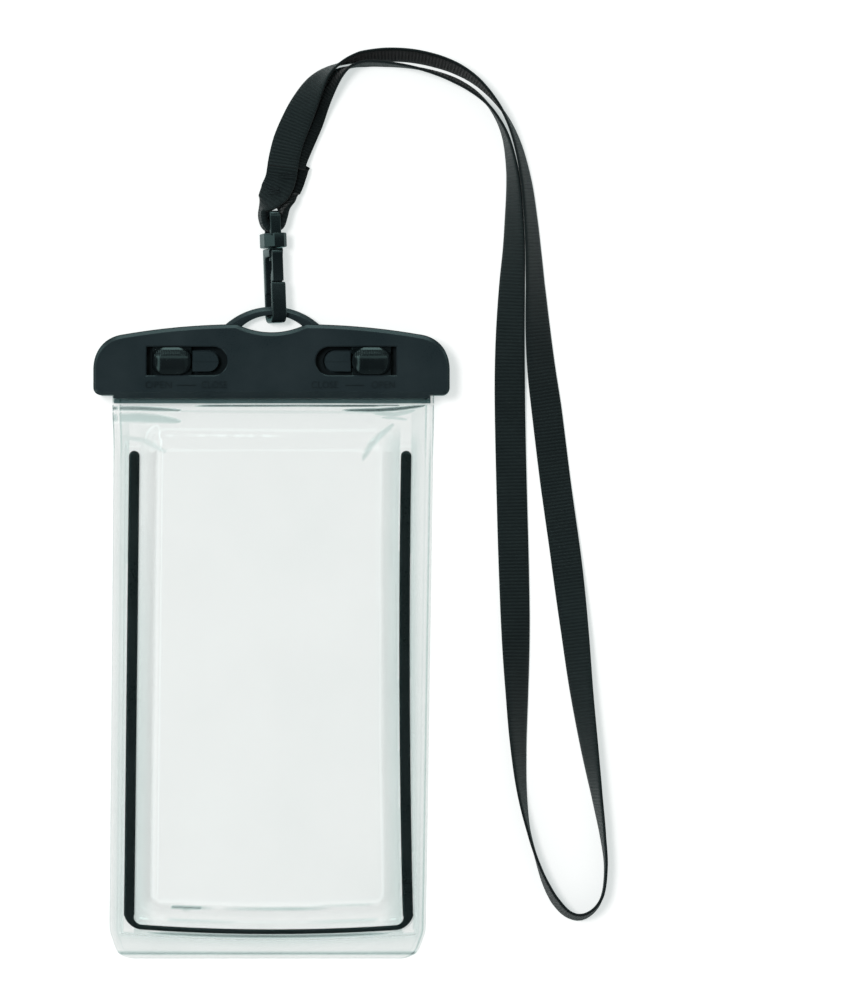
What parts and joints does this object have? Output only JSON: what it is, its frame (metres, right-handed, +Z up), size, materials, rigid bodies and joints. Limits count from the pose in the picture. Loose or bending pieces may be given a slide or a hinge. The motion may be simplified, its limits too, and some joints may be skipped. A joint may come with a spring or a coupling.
{
  "type": "waterproof phone pouch",
  "caption": "Clear film pouch with a dark edge piping, a jaw clamp held shut by slide locks, and a woven lanyard on a snap hook.",
  "frame": {"origin": "middle of the pouch and its clamp in plan, without the lanyard and its hook, on the surface that the pouch lies on", "axes": "+X to the right, +Y along the pouch towards the clamp, +Z up out of the front film"},
  "size_m": [0.1723, 0.3045, 0.0162],
  "materials": {
    "clear_film": "clear, smooth and limp",
    "dark_piping": "smooth, seen through the film",
    "clamp_plastic": "fine satin",
    "inner_plastic": "satin",
    "seal_rubber": "matte",
    "slider_plastic": "satin, finely ribbed",
    "hook_plastic": "satin",
    "webbing": "grosgrain, ribbed across",
    "thread": "close stitches"
  },
  "bodies": {
    "pouch": {"back_film": "clear_film", "front_film": "clear_film", "edge_piping": "dark_piping", "rear_jaw": "clamp_plastic", "lanyard_strap": "webbing"},
    "front_jaw": {"front_jaw": "clamp_plastic", "jaw_liner": "inner_plastic", "jaw_gasket": "seal_rubber"},
    "slider_left": {"slider_left": "slider_plastic"},
    "slider_right": {"slider_right": "slider_plastic"},
    "hook": {"hook_body": "hook_plastic"},
    "gate": {"hook_gate": "hook_plastic"},
    "swivel": {"swivel_eye": "hook_plastic", "strap_end_fold": "webbing", "bartack_upper": "thread", "bartack_lower": "thread"}
  },
  "joints": [
    {"name": "front_jaw_open", "type": "slide", "parent": "pouch", "child": "front_jaw", "axis": [0, 0, 1], "range_m": [0, 0.018]},
    {"name": "slider_left_slide", "type": "slide", "parent": "front_jaw", "child": "slider_left", "axis": [1, 0, 0], "range_m": [0, 0.009]},
    {"name": "slider_right_slide", "type": "slide", "parent": "front_jaw", "child": "slider_right", "axis": [-1, 0, 0], "range_m": [0, 0.009]},
    {"name": "hook_swing", "type": "hinge", "parent": "pouch", "child": "hook", "pos_m": [0, 0.10755, 0.00525], "axis": [1, 0, 0], "range_deg": [-80, 80]},
    {"name": "gate_pivot", "type": "hinge", "parent": "hook", "child": "gate", "pos_m": [0.00171, 0.12693, 0.01001], "axis": [0.9557, 0.0345, -0.2924], "range_deg": [0, 20], "stiffness_Nm_per_rad": 0.004},
    {"name": "hook_swivel", "type": "hinge", "parent": "hook", "child": "swivel", "pos_m": [0.00133, 0.1035, 0.00599], "axis": [-0.0361, 0.9993, 0], "continuous": true}
  ]
}
